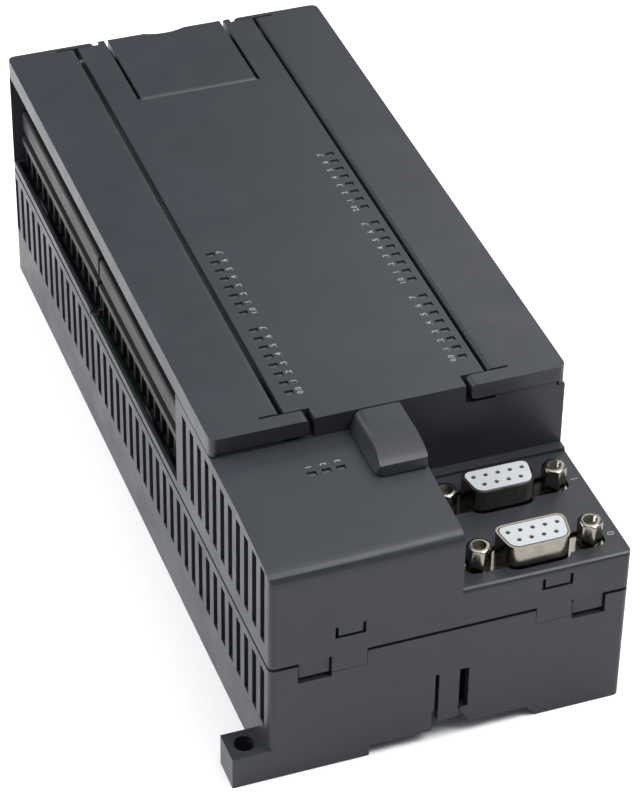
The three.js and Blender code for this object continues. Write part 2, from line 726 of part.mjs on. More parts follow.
function terminalStrips() {
  const sides = [['output', -1], ['input', 1]];
  const names = ['near', 'far'];
  return sides.flatMap(([row, side]) =>
    PLUG.centres.flatMap((y, i) => {
      const plug = piece(`${row}_terminal_plug_${names[i]}`, terminalPlug(side), 'terminal');
      const header = piece(`${row}_terminal_header_${names[i]}`, terminalHeader(side), 'component');
      plug.position.y = y;
      header.position.y = y;
      return [plug, header];
    }),
  );
}

// ---------------------------------------------------------------------------- ports

// The D shape of a nine-way connector, wide row away from the near end.
function portOutline(inset, cornerRadius) {
  const half = 4.1 - inset;
  const wide = 8.15 - inset;
  const slope = 2 * half * Math.tan((10 * Math.PI) / 180);
  return roundedPolygon([[-wide, half], [-wide + slope, -half], [wide - slope, -half], [wide, half]], cornerRadius);
}

const SHELL_WALL = 0.45;

function portShell() {
  const { halfX, halfY, bottom, top } = FLANGE;
  const flange = prism('z', roundedRectangle([-halfX, halfX], [-halfY, halfY], 1), bottom, top);
  const skirt = prism('z', portOutline(0, 2.6), top - 0.2, PORT.shellTop, 6);
  const hollow = prism('z', portOutline(SHELL_WALL, 2.3), bottom - OVERCUT, PORT.shellTop + OVERCUT, 6);
  const screwHoles = [-1, 1].map((side) =>
    rod('z', [(side * PORT.jackSpacing) / 2, 0], 1.7, bottom - OVERCUT, top + OVERCUT, 12),
  );
  return cut(join([flange, skirt]), [hollow, ...screwHoles]);
}

// The insulator: two rows of contact holes, five and four, and a block down to the board.
function portInsulator() {
  const pitch = 2.77;
  const face = PORT.shellTop + 0.1;
  const column = prism('z', portOutline(SHELL_WALL + 0.25, 2.1), FLANGE.bottom - 1, face, 6);
  const foot = block([-9.4, 9.4], [-4.2, 4.2], [IO_BOARD_Z + BOARD + FIT, FLANGE.bottom - FIT]);
  const rows = [[5, 1.42], [4, -1.42]];
  const contactHoles = rows.flatMap(([count, y]) =>
    range(count).map((i) => rod('z', [(i - (count - 1) / 2) * pitch, y], 0.55, face - 4, face + OVERCUT, 8)),
  );
  return cut(join([column, foot]), contactHoles);
}

// A hexagonal jack screw: it stands on the flange and its stud passes through it.
function jackScrew() {
  const across = PORT.jackAcross / Math.sqrt(3);
  const base = FLANGE.top + FIT;
  const top = PORT.jackTop;
  const head = rod('z', [0, 0], across, base, top, 6);
  const stud = rod('z', [0, 0], 1.35, 33, base + 0.5, 12);
  const thread = rod('z', [0, 0], 1.5, top - 5, top + OVERCUT, 12);
  return cut(join([head, stud]), [thread]);
}

function port(number, y) {
  const jacks = [['left', -1], ['right', 1]].map(([name, side]) => {
    const screw = piece(`port_${number}_jack_screw_${name}`, jackScrew(), 'steel');
    screw.position.x = (side * PORT.jackSpacing) / 2;
    return screw;
  });
  const group = groupOf(
    piece(`port_${number}_shell`, portShell(), 'steel'),
    piece(`port_${number}_insulator`, portInsulator(), 'insulator'),
    ...jacks,
  );
  group.position.set(PORT.x, y, 0);
  return group;
}

// --------------------------------------------------------------------- light guides

// A comb of light guides: a bar with one finger that all but fills each window.
function guideComb(centres, tip) {
  const halfX = LIGHT.width / 2 - SNUG;
  const halfY = LIGHT.length / 2 - SNUG;
  const xs = centres.map(([x]) => x);
  const ys = centres.map(([, y]) => y);
  const bar = block(
    [Math.min(...xs) - halfX, Math.max(...xs) + halfX],
    [Math.min(...ys) - halfY, Math.max(...ys) + halfY],
    [tip - 6, tip - 3.6],
  );
  const fingers = centres.map(([x, y]) =>
    block([x - halfX, x + halfX], [y - halfY, y + halfY], [LOGIC_TOP + 1.2, tip]),
  );
  return join([bar, ...fingers]);
}

function lightGuides() {
  const tip = BODY.height - LIGHT.depth;
  const rows = [['input', INPUT_LIGHTS], ['output', OUTPUT_LIGHTS]];
  const guides = rows.flatMap(([row, { x, starts }]) =>
    starts.map((start, i) =>
      piece(`${row}_light_guide_${i + 1}`, guideComb(lightCentres(x, start), tip), 'guide'),
    ),
  );
  const statusCentres = STATUS_LIGHTS.xs.map((x) => [x, STATUS_LIGHTS.y]);
  guides.push(piece('status_light_guide', guideComb(statusCentres, DECK - LIGHT.depth), 'guide'));
  return guides;
}

// ------------------------------------------------------------- boards and components

function logicBoard() {
  const top = LOGIC_BOARD_Z + BOARD;
  const near = STEP_Y + WALL + FIT;
  const half = COLUMN.halfWidth - COLUMN.wall - FIT;
  const outline = polygon([
    [-half, 94],
    [-half, near + 4],
    [-26, near + 4],
    [-26, -82],
    [-1.5, -82],
    [-1.5, near],
    [half, near],
    [half, 94],
  ]);
  return prism('z', outline, LOGIC_BOARD_Z, top);
}

function boardsAndComponents() {
  const ioTop = IO_BOARD_Z + BOARD + FIT;
  const powerTop = POWER_BOARD_Z + BOARD + FIT;
  const ioScrewSlots = PORT.ys.flatMap((y) =>
    [-1, 1].map((side) => rod('z', [PORT.x + (side * PORT.jackSpacing) / 2, y], 2, 20, 40, 12)),
  );
  const capacitor = (x, y) => rod('z', [x, y], 7, powerTop, IO_BOARD_Z - 2, 20);
  return [
    piece('power_board', block([-30, 30], [-62, 62], [POWER_BOARD_Z, POWER_BOARD_Z + BOARD]), 'board'),
    piece('io_board', cut(block([-35.6, 35.6], [-94, 94], [IO_BOARD_Z, IO_BOARD_Z + BOARD]), ioScrewSlots), 'board'),
    piece('logic_board', logicBoard(), 'board'),
    piece('power_transformer', block([-14, 14], [-4, 24], [powerTop, IO_BOARD_Z - 3]), 'core'),
    piece('bulk_capacitor_near', capacitor(16, -36), 'sleeve'),
    piece('bulk_capacitor_far', capacitor(16, 40), 'sleeve'),
    piece('power_board_connector', block([-24, -20], [-30, 30], [powerTop, IO_BOARD_Z - FIT]), 'component'),
    piece('logic_board_connector', block([-12, 12], [-32, -27], [ioTop, LOGIC_BOARD_Z - FIT]), 'component'),
    piece('processor_chip', block([-8, 8], [-10, 6], [LOGIC_TOP, LOGIC_TOP + 1.5]), 'component'),
    piece('backup_capacitor', rod('z', [0, 36], 6.5, LOGIC_TOP, LOGIC_TOP + 6, 20), 'sleeve'),
    piece('cartridge_socket', block([-5.9, -1.9], [-73.4, -62.9], [LOGIC_TOP, 52]), 'component'),
  ];
}

// The shrouded header that takes the ribbon lead of the next module.
function expansionHeader() {
  const { y, halfX, halfY } = WELL_PARTS.header;
  const top = 55.5;
  const wall = 1.2;
  const body = block([-halfX, halfX], [y - halfY, y + halfY], [LOGIC_TOP, top]);
  const mouth = block([-halfX + wall, halfX - wall], [y - halfY + wall, y + halfY - wall], [top - 4.8, top + OVERCUT]);
  const key = block([-2, 2], [y - halfY - OVERCUT, y - halfY + wall + OVERCUT], [top - 2, top + OVERCUT]);
  return cut(body, [mouth, key]);
}

const WELL_BODY_TOP = WELL.floorBottom - FIT;

// A slide switch: its body under the tray floor, its lever standing through a slot.
function modeSwitch() {
  const { x, y, travel } = WELL_PARTS.lever;
  const slotDepth = 1.4;
  const body = block([-6, 6], [-2.8, 2.8], [LOGIC_TOP, WELL_BODY_TOP]);
  const slot = block([-travel - 1.5, travel + 1.5], [-1.1, 1.1], [WELL_BODY_TOP - slotDepth, WELL_BODY_TOP + OVERCUT]);
  const lever = block([-1.2, 1.2], [-0.8, 0.8], [WELL_BODY_TOP - slotDepth + FIT, 55.4]);
  const group = groupOf(
    piece('mode_switch_body', cut(body, [slot]), 'component'),
    piece('mode_switch_lever', lever, 'insulator'),
  );
  group.position.set(x, y, 0);
  return group;
}

// A trimmer: a square body and a slotted rotor that turns in it.
function trimmer(number, x) {
  const { y, radius } = WELL_PARTS.trimmers;
  const top = 53.4;
  const seat = WELL_BODY_TOP - 1.2;
  const body = block([-3.2, 3.2], [-3.2, 3.2], [LOGIC_TOP, WELL_BODY_TOP]);
  const recess = rod('z', [0, 0], radius + FIT, seat, WELL_BODY_TOP + OVERCUT, 16);
  const rotor = rod('z', [0, 0], radius, seat + FIT, top, 16);
  const driverSlot = block([-0.35, 0.35], [-radius - OVERCUT, radius + OVERCUT], [top - 0.9, top + OVERCUT]);
  const group = groupOf(
    piece(`trimmer_${number}_body`, cut(body, [recess]), 'trimmer'),
    piece(`trimmer_${number}_rotor`, cut(rotor, [driverSlot]), 'insulator'),
  );
  group.position.set(x, y, 0);
  return group;
}

// ------------------------------------------------------------------------- assembly

export default groupOf(
  piece('base_housing', baseHousing(), 'housing'),
  piece('upper_housing', upperHousing(), 'housing'),
  piece('rail_clip', railClip(), 'component'),
  piece('output_door', door(-1), 'housing'),
  piece('input_door', door(1), 'housing'),
  piece('access_hatch', accessHatch(), 'housing'),
  piece('cartridge_cover', cartridgeCover(), 'housing'),
  ...terminalStrips(),
  ...PORT.ys.map((y, i) => port(i + 1, y)),
  ...lightGuides(),
  ...boardsAndComponents(),
  piece('expansion_header', expansionHeader(), 'component'),
  modeSwitch(),
  ...WELL_PARTS.trimmers.xs.map((x, i) => trimmer(i + 1, x)),
);
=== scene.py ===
"""Looks of a compact rail-mounted logic controller: camera, light, finishes and fine detail."""

import json
import math

import bmesh
import bpy
from mathutils import Matrix, Vector


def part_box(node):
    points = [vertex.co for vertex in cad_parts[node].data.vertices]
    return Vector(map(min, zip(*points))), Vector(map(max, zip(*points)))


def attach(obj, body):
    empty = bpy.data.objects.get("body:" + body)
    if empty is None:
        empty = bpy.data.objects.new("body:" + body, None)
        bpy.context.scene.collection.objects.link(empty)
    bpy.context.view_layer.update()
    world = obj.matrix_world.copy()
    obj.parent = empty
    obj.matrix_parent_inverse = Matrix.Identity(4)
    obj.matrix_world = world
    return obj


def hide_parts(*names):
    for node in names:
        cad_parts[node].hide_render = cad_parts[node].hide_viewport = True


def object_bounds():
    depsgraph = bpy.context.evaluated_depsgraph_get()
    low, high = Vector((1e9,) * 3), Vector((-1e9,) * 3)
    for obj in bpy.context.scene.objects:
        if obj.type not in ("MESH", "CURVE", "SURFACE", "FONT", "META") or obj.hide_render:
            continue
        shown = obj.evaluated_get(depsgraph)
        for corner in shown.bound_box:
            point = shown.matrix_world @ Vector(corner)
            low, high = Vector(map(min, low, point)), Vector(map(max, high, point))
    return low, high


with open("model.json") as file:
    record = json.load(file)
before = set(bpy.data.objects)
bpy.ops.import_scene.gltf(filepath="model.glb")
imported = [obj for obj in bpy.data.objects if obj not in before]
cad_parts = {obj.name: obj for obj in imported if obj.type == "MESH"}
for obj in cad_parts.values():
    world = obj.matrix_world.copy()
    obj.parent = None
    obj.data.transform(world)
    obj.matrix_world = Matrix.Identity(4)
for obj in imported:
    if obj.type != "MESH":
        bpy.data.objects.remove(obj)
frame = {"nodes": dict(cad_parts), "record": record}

CAD_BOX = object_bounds()
NODES = frame["nodes"]
MM = 0.001

# ------------------------------------------------------------------------ driving values

CAMERA = {
    "place": (-0.19111, -0.53096, 0.45792),
    "azimuth": -20.408,
    "elevation": 37.840,
    "roll": 0.962,
    "lens": 139.80,
}

# Each lamp: place, target, width, height and power.
LAMPS = {
    "overhead": ((0.15, 0.00, 1.30), (0.0, 0.0, 0.0), 1.4, 1.4, 13.5),
    "key": ((0.27, -0.20, 0.50), (0.0, -0.03, 0.06), 0.35, 0.35, 3.3),
    "left_floor": ((-0.45, 0.12, 0.30), (-0.16, 0.05, 0.0), 0.5, 0.3, 3.6),
    "back_right": ((0.42, 0.52, 0.54), (0.03, -0.04, 0.06), 0.40, 0.40, 0.9),
}
SKY = (0.80, 0.85, 0.92)
SKY_STRENGTH = 0.26

CHARCOAL = (0.0235, 0.0255, 0.0305)
TERMINAL_GREY = (0.016, 0.0165, 0.018)
BLACK = (0.012, 0.012, 0.013)
WHITE = (0.36, 0.38, 0.39)
BLUE = (0.020, 0.090, 0.330)
SOLDER_MASK = (0.005, 0.040, 0.015)
SLEEVE = (0.010, 0.012, 0.040)
SMOKED = (0.050, 0.054, 0.058)
NICKEL = (0.28, 0.255, 0.215)
BRASS = (0.38, 0.26, 0.11)
CORE = (0.10, 0.095, 0.085)
PRINT = (0.24, 0.25, 0.26)
FLOOR = (0.92, 0.92, 0.92)
FLOOR_HALF_WIDTH = 3
FLOOR_GAP = 0.05 * MM

WINDOW = {"width": 2.0 * MM, "length": 1.4 * MM, "pitch": 3.3 * MM, "count": 8}
PLUG = {
    "count": 13,
    "pitch": 5.0 * MM,
    "screw_from_face": 5.4 * MM,
    "well_from_top": 4.7 * MM,
    "entry_from_bottom": 4.85 * MM,
    "clamp_from_screw": 1.2 * MM,
}
SCREW = {"radius": 1.75 * MM, "height": 1.5 * MM, "slot": 0.55 * MM}
CLAMP = {"depth": 3.4 * MM, "half_width": 1.75 * MM, "half_height": 3.1 * MM, "wall": 0.45 * MM}
JACK = {
    "stud": 1.35 * MM,
    "stud_lead": 0.3 * MM,
    "top_face_share": 0.93,
    "mouth": 0.15 * MM,
    "thread_start": 0.2 * MM,
    "hexagon_height": 5.6 * MM,
    "bore_depth": 4.8 * MM,
    "chamfer": 0.35 * MM,
    "chamfer_steps": 5,
    "bore": 1.42 * MM,
    "root": 1.17 * MM,
    "pitch": 0.635 * MM,
    "turns": 7,
}
CONTACT_PITCH = 2.77 * MM
CONTACT_ROWS = ((5, 1.42 * MM), (4, -1.42 * MM))
PIN = {
    "columns": 6,
    "rows": 2,
    "pitch": 2.54 * MM,
    "half": 0.32 * MM,
    "reach": 3.6 * MM,
    "foot_from_top": 4.8 * MM,
}

# Height of the print on each face: over the panel's top, the status guide's top, a port's foot.
PANEL_PRINT_LIFT = 0.01 * MM
STATUS_PRINT_LIFT = 0.51 * MM
PORT_PRINT_LIFT = 1.61 * MM

NUMERAL_SIZE = 1.9 * MM
PORT_NUMERAL_SIZE = 2.4 * MM
ROW_LABEL_OFFSET = 2.3 * MM
STATUS_PITCH = 3.2 * MM
STATUS_LABEL_GAP = 1.6 * MM
PORT_LABEL_GAP = 2.2 * MM

# --------------------------------------------------------------------- camera and light


def make_camera():
    data = bpy.data.cameras.new("camera")
    data.lens = CAMERA["lens"]
    data.sensor_width = 36
    data.clip_start = 0.01
    data.clip_end = 20
    camera = bpy.data.objects.new("camera", data)
    turn = (
        Matrix.Rotation(math.radians(CAMERA["azimuth"]), 4, "Z")
        @ Matrix.Rotation(math.radians(90 - CAMERA["elevation"]), 4, "X")
        @ Matrix.Rotation(math.radians(CAMERA["roll"]), 4, "Z")
    )
    camera.matrix_world = Matrix.Translation(CAMERA["place"]) @ turn
    bpy.context.scene.collection.objects.link(camera)
    bpy.context.scene.camera = camera


def make_lamp(name, place, target, width, height, power):
    data = bpy.data.lights.new(name, "AREA")
    data.shape = "RECTANGLE"
    data.size = width
    data.size_y = height
    data.energy = power
    lamp = bpy.data.objects.new(name, data)
    lamp.location = place
    lamp.rotation_mode = "QUATERNION"
    lamp.rotation_quaternion = (Vector(target) - Vector(place)).to_track_quat("-Z", "Y")
    bpy.context.scene.collection.objects.link(lamp)


def make_sky():
    world = bpy.data.worlds.new("studio")
    world.use_nodes = True
    background = world.node_tree.nodes["Background"]
    background.inputs["Color"].default_value = (*SKY, 1)
    background.inputs["Strength"].default_value = SKY_STRENGTH
    bpy.context.scene.world = world


make_camera()
make_sky()
for lamp_name, settings in LAMPS.items():
    make_lamp(lamp_name, *settings)
bpy.context.scene.view_settings.view_transform = "Standard"

# ----------------------------------------------------------------------------- finishes


class Finish:
    """A node material under construction, with short calls for its usual parts."""

    def __init__(self, name):
        self.material = bpy.data.materials.new(name)
        self.material.use_nodes = True
        self.nodes = self.material.node_tree.nodes
        self.links = self.material.node_tree.links
        self.shader = self.nodes["Principled BSDF"]
        self.place = self.nodes.new("ShaderNodeTexCoord").outputs["Object"]

    def link(self, output, socket):
        self.links.new(output, socket)

    def noise(self, size, detail=2.0, stretch=(1, 1, 1)):
        """Noise whose features measure about size metres, longer where stretch is small."""
        mapping = self.nodes.new("ShaderNodeMapping")
        mapping.inputs["Scale"].default_value = stretch
        self.link(self.place, mapping.inputs["Vector"])
        texture = self.nodes.new("ShaderNodeTexNoise")
        texture.inputs["Scale"].default_value = 1 / size
        texture.inputs["Detail"].default_value = detail
        self.link(mapping.outputs["Vector"], texture.inputs["Vector"])
        return texture.outputs["Fac"]

    def spread(self, value, low, high):
        """Maps the middle of a noise, 0.3 to 0.7, onto low to high."""
        ramp = self.nodes.new("ShaderNodeMapRange")
        ramp.inputs["From Min"].default_value = 0.3
        ramp.inputs["From Max"].default_value = 0.7
        ramp.inputs["To Min"].default_value = low
        ramp.inputs["To Max"].default_value = high
        self.link(value, ramp.inputs["Value"])
        return ramp.outputs["Result"]

    def colour(self, factor, dark, light):
        mix = self.nodes.new("ShaderNodeMix")
        mix.data_type = "RGBA"
        mix.inputs["A"].default_value = (*dark, 1)
        mix.inputs["B"].default_value = (*light, 1)
        self.link(factor, mix.inputs["Factor"])
        self.link(mix.outputs["Result"], self.shader.inputs["Base Color"])

    def roughness(self, value):
        self.link(value, self.shader.inputs["Roughness"])

    def bump(self, height, distance, strength=1.0):
        """Adds relief over any relief already there."""
        bump = self.nodes.new("ShaderNodeBump")
        bump.inputs["Distance"].default_value = distance
        bump.inputs["Strength"].default_value = strength
        self.link(height, bump.inputs["Height"])
        normal = self.shader.inputs["Normal"]
        if normal.is_linked:
            self.link(normal.links[0].from_socket, bump.inputs["Normal"])
        self.link(bump.outputs["Normal"], normal)


def tone(colour, factor):
    return tuple(channel * factor for channel in colour)


def moulded(name, colour, rough=(0.30, 0.40), grain=0.35 * MM, relief=0.012 * MM):
    """Moulded plastic: a spark-eroded grain, faint flow clouds and uneven gloss."""
    finish = Finish(name)
    finish.shader.inputs["Specular IOR Level"].default_value = 0.25
    clouds = finish.noise(28 * MM, 3)
    finish.colour(finish.spread(clouds, 0, 1), tone(colour, 0.93), tone(colour, 1.07))
    finish.roughness(finish.spread(finish.noise(9 * MM, 4), *rough))
    finish.bump(finish.noise(4 * MM, 2), 0.01 * MM, 0.5)
    finish.bump(finish.noise(grain, 3), relief)
    return finish.material


def plated(name, colour, rough=(0.12, 0.26)):
    """Plated or drawn metal: drawing lines and small dull clouds."""
    finish = Finish(name)
    finish.shader.inputs["Metallic"].default_value = 1
    clouds = finish.noise(1.6 * MM, 4)
    finish.colour(finish.spread(clouds, 0, 1), tone(colour, 0.72), colour)
    finish.roughness(finish.spread(clouds, *rough))
    finish.bump(finish.noise(0.25 * MM, 2, (1, 1, 0.15)), 0.006 * MM)
    return finish.material


def circuit_board(name):
    """Solder mask over copper: paler where tracks run beneath it."""
    finish = Finish(name)
    tracks = finish.noise(1.2 * MM, 0, (1, 0.12, 1))
    finish.colour(finish.spread(tracks, 0, 1), SOLDER_MASK, tone(SOLDER_MASK, 1.9))
    finish.roughness(finish.spread(finish.noise(3 * MM), 0.22, 0.34))
    finish.bump(tracks, 0.03 * MM)
    return finish.material


def smoked_guide(name):
    """Unlit light guide: a smoked tip with a soft gloss and fine scratches."""
    finish = Finish(name)
    streaks = finish.noise(0.4 * MM, 2, (0.3, 1, 1))
    finish.colour(finish.spread(streaks, 0, 1), tone(SMOKED, 0.8), tone(SMOKED, 1.2))
    finish.roughness(finish.spread(streaks, 0.22, 0.36))
    finish.bump(streaks, 0.004 * MM)
    return finish.material


def studio_floor(name):
    finish = Finish(name)
    grain = finish.noise(0.6 * MM, 2)
    finish.colour(grain, tone(FLOOR, 0.995), FLOOR)
    finish.shader.inputs["Roughness"].default_value = 0.9
    return finish.material


FINISHES = {
    "housing": moulded("charcoal_housing", CHARCOAL),
    "terminal_plastic": moulded("terminal_grey", TERMINAL_GREY, (0.42, 0.52), 0.5 * MM),
    "black_plastic": moulded("black_moulding", BLACK, (0.40, 0.55), 0.4 * MM),
    "white_plastic": moulded("white_moulding", WHITE, (0.34, 0.46), 0.5 * MM, 0.006 * MM),
    "blue_plastic": moulded("blue_moulding", BLUE, (0.34, 0.46), 0.5 * MM, 0.006 * MM),
    "plated_steel": plated("nickel_plate", NICKEL),
    "light_guide": smoked_guide("smoked_guide"),
    "circuit_board": circuit_board("solder_mask"),
    "core_metal": moulded("ferrite_core", CORE, (0.5, 0.7), 0.6 * MM, 0.02 * MM),
    "capacitor_sleeve": moulded("shrink_sleeve", SLEEVE, (0.22, 0.32), 1.5 * MM, 0.004 * MM),
}
BRASS_PLATE = plated("brass_contact", BRASS)
WHITE_PRINT = moulded("white_print", PRINT, (0.5, 0.6), 0.3 * MM, 0.004 * MM)

# ------------------------------------------------------------------------ CAD node edges

SMOOTH_BELOW = math.radians(42)
ROUND_ABOVE = math.radians(35)
EDGE_SEGMENTS = 3

# Edge radius in millimetres for the nodes whose edges can be seen.
EDGE_RADIUS = {
    "base_housing": 0.3,
    "upper_housing": 0.3,
    "output_door": 0.35,
    "input_door": 0.35,
    "access_hatch": 0.3,
    "cartridge_cover": 0.5,
    "rail_clip": 0.3,
    "expansion_header": 0.15,
    "mode_switch_lever": 0.15,
}


def node_group(name):
    group = bpy.data.node_groups.new(name, "GeometryNodeTree")
    group.interface.new_socket("Geometry", in_out="INPUT", socket_type="NodeSocketGeometry")
    group.interface.new_socket("Geometry", in_out="OUTPUT", socket_type="NodeSocketGeometry")
    return group


def chain(group, nodes):
    """Passes the geometry through the nodes in turn."""
    steps = [group.nodes.new("NodeGroupInput"), *nodes, group.nodes.new("NodeGroupOutput")]
    for before, after in zip(steps, steps[1:]):
        group.links.new(before.outputs[0], after.inputs[0])


def welding_group():
    """Drops the stored normals and joins the corners that meet."""
    group = node_group("weld_corners")
    drop = group.nodes.new("GeometryNodeRemoveAttribute")
    drop.inputs["Name"].default_value = "custom_normal"
    weld = group.nodes.new("GeometryNodeMergeByDistance")
    weld.inputs["Distance"].default_value = 0.002 * MM
    chain(group, [drop, weld])
    return group


def smoothing_group():
    """Shades every edge smooth that turns less than the smoothing angle."""
    group = node_group("smooth_by_angle")
    faces = group.nodes.new("GeometryNodeSetShadeSmooth")
    edges = group.nodes.new("GeometryNodeSetShadeSmooth")
    edges.domain = "EDGE"
    angle = group.nodes.new("GeometryNodeInputMeshEdgeAngle")
    gentle = group.nodes.new("FunctionNodeCompare")
    gentle.operation = "LESS_THAN"
    gentle.inputs[1].default_value = SMOOTH_BELOW
    group.links.new(angle.outputs["Unsigned Angle"], gentle.inputs[0])
    group.links.new(gentle.outputs["Result"], edges.inputs["Shade Smooth"])
    chain(group, [faces, edges])
    return group


WELDING = welding_group()
SMOOTHING = smoothing_group()


def add_group(piece, name, group):
    modifier = piece.modifiers.new(name, "NODES")
    modifier.node_group = group


def round_edges(piece, radius):
    bevel = piece.modifiers.new("round_edges", "BEVEL")
    bevel.width = radius
    bevel.segments = EDGE_SEGMENTS
    bevel.limit_method = "ANGLE"
    bevel.angle_limit = ROUND_ABOVE
    bevel.miter_outer = "MITER_ARC"


def dress_nodes():
    slots = {entry["node"]: entry["material_slot"] for entry in frame["record"]["subparts"]}
    for name, piece in NODES.items():
        for slot in piece.material_slots:
            slot.material = FINISHES[slots[name]]
        add_group(piece, "weld", WELDING)
        if name in EDGE_RADIUS:
            round_edges(piece, EDGE_RADIUS[name] * MM)
        add_group(piece, "smooth", SMOOTHING)
        weights = piece.modifiers.new("even_normals", "WEIGHTED_NORMAL")
        weights.keep_sharp = True


dress_nodes()

# ------------------------------------------------------------------- detail: mesh helpers


def new_piece(name, mesh, body, material):
    mesh.materials.clear()
    mesh.materials.append(material)
    piece = bpy.data.objects.new(name, mesh)
    bpy.context.scene.collection.objects.link(piece)
    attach(piece, body)
    add_group(piece, "smooth", SMOOTHING)
    return piece


def turned_mesh(profile, sides=24, reach=None):
    """A solid of rings: profile gives (radius, height) from the bottom centre to the top centre.
    reach(angle, radius) may bend a ring out of round and returns its radius there."""
    build = bmesh.new()
    rings = []
    for radius, height in profile:
        if radius == 0:
            rings.append([build.verts.new((0, 0, height))])
            continue
        ring = []
        for i in range(sides):
            angle = 2 * math.pi * i / sides
            bent = reach(angle, radius) if reach else radius
            ring.append(build.verts.new((bent * math.cos(angle), bent * math.sin(angle), height)))
        rings.append(ring)
    for low, high in zip(rings, rings[1:]):
        for i in range(sides):
            j = (i + 1) % sides
            if len(low) == 1:
                build.faces.new((low[0], high[j], high[i]))
            elif len(high) == 1:
                build.faces.new((low[i], low[j], high[0]))
            else:
                build.faces.new((low[i], low[j], high[j], high[i]))
    bmesh.ops.recalc_face_normals(build, faces=build.faces)
    mesh = bpy.data.meshes.new("turned")
    build.to_mesh(mesh)
    build.free()
    return mesh


def copies(mesh, places):
    """One mesh that holds the given one at each place."""
    build = bmesh.new()
    for place in places:
        start = len(build.verts)
        build.from_mesh(mesh)
        build.verts.ensure_lookup_table()
        bmesh.ops.translate(build, verts=build.verts[start:], vec=place)
    result = bpy.data.meshes.new("copies")
    build.to_mesh(result)
    build.free()
    return result


def centre_of(node):
    low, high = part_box(node)
    return (low + high) / 2


# ---------------------------------------------------------------- detail: port connectors


def hexagon(angle, apothem):
    """How far a hexagon reaches at an angle, with flats that face along X."""
    off_flat = (angle + math.pi / 6) % (math.pi / 3) - math.pi / 6
    return apothem / math.cos(off_flat)


def jack_screw_mesh(low, high):
    """A chamfered hexagon on a stud, with a threaded bore down from its top."""
    apothem = (high.x - low.x) / 2
    corner = apothem / math.cos(math.pi / 6)
    top = high.z - low.z
    base = top - JACK["hexagon_height"]
    stud = JACK["stud"]
    profile = [(0, 0), (0.8 * stud, 0), (stud, JACK["stud_lead"]), (stud, base)]
    profile += [(corner, base)]
    for step in range(JACK["chamfer_steps"] + 1):
        share = step / JACK["chamfer_steps"]
        radius = corner + (JACK["top_face_share"] * apothem - corner) * share
        profile += [(radius, top - JACK["chamfer"] * (1 - share))]
    profile += [(JACK["bore"] + JACK["mouth"], top)]
    for turn in range(JACK["turns"]):
        height = top - JACK["thread_start"] - turn * JACK["pitch"]
        profile += [(JACK["bore"], height), (JACK["root"], height - JACK["pitch"] / 2)]
    profile += [(0, top - JACK["bore_depth"])]

    def reach(angle, radius):
        return min(radius, hexagon(angle, apothem)) if radius > stud else radius

    return turned_mesh(profile, sides=48, reach=reach)


def add_jack_screws():
    for number in (1, 2):
        for side in ("left", "right"):
            node = f"port_{number}_jack_screw_{side}"
            low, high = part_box(node)
            screw = new_piece(
                f"port_{number}_threaded_jack_{side}",
                jack_screw_mesh(low, high),
                "housing",
                FINISHES["plated_steel"],
            )
            screw.location = ((low.x + high.x) / 2, (low.y + high.y) / 2, low.z)
            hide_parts(node)


def contact_places(number):
    insulator = f"port_{number}_insulator"
    centre = centre_of(insulator)
    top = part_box(insulator)[1].z
    return [
        (centre.x + (i - (count - 1) / 2) * CONTACT_PITCH, centre.y + y, top)
        for count, y in CONTACT_ROWS
        for i in range(count)
    ]


def add_contacts():
    """Sprung brass sleeves set just below the mouths of the contact holes."""
    sleeve = turned_mesh(
        [
            (0.28 * MM, -3.2 * MM),
            (0.50 * MM, -3.2 * MM),
            (0.50 * MM, -0.55 * MM),
            (0.46 * MM, -0.45 * MM),
            (0.32 * MM, -0.45 * MM),
            (0.28 * MM, -0.55 * MM),
            (0.28 * MM, -3.2 * MM),
        ],
        sides=16,
    )
    for number in (1, 2):
        mesh = copies(sleeve, contact_places(number))
        new_piece(f"port_{number}_contacts", mesh, "housing", BRASS_PLATE)


add_jack_screws()
add_contacts()

# ----------------------------------------------------------------- detail: terminal strips


def slotted_screw_mesh():
    """A cheese-head screw: a disc with two raised halves either side of its slot."""
    radius, height = SCREW["radius"], SCREW["height"]
    build = bmesh.new()
    disc = turned_mesh([(0, 0), (radius, 0), (radius, height / 2), (0, height / 2)])
    build.from_mesh(disc)
    steps = 12
    for side in (-1, 1):
        start = math.asin(SCREW["slot"] / 2 / radius)
        angles = [start + (math.pi - 2 * start) * i / steps for i in range(steps + 1)]
        rim = [(radius * math.cos(a), side * radius * math.sin(a)) for a in angles]
        rings = [
            [build.verts.new((x, y, z)) for x, y in rim] for z in (height / 2, height)
        ]
        count = len(rim)
        build.faces.new(rings[0])
        build.faces.new(rings[1])
        for i in range(count):
            j = (i + 1) % count
            build.faces.new((rings[0][i], rings[0][j], rings[1][j], rings[1][i]))
    bmesh.ops.recalc_face_normals(build, faces=build.faces)
    mesh = bpy.data.meshes.new("slotted_screw")
    build.to_mesh(mesh)
    build.free()
    return mesh


def cage_mesh():
    """A wire clamp: a short square tube along X, open at both ends."""
    build = bmesh.new()
    loops = []
    for x in (-CLAMP["depth"] / 2, CLAMP["depth"] / 2):
        for inset in (0, CLAMP["wall"]):
            y, z = CLAMP["half_width"] - inset, CLAMP["half_height"] - inset
            corners = [(x, -y, -z), (x, y, -z), (x, y, z), (x, -y, z)]
            loops.append([build.verts.new(corner) for corner in corners])
    near_outer, near_inner, far_outer, far_inner = loops
    walls = [(near_outer, far_outer), (near_inner, far_inner)]
    rims = [(near_outer, near_inner), (far_outer, far_inner)]
    for first, second in walls + rims:
        for i in range(4):
            j = (i + 1) % 4
            build.faces.new((first[i], first[j], second[j], second[i]))
    bmesh.ops.recalc_face_normals(build, faces=build.faces)
    mesh = bpy.data.meshes.new("cage")
    build.to_mesh(mesh)
    build.free()
    return mesh


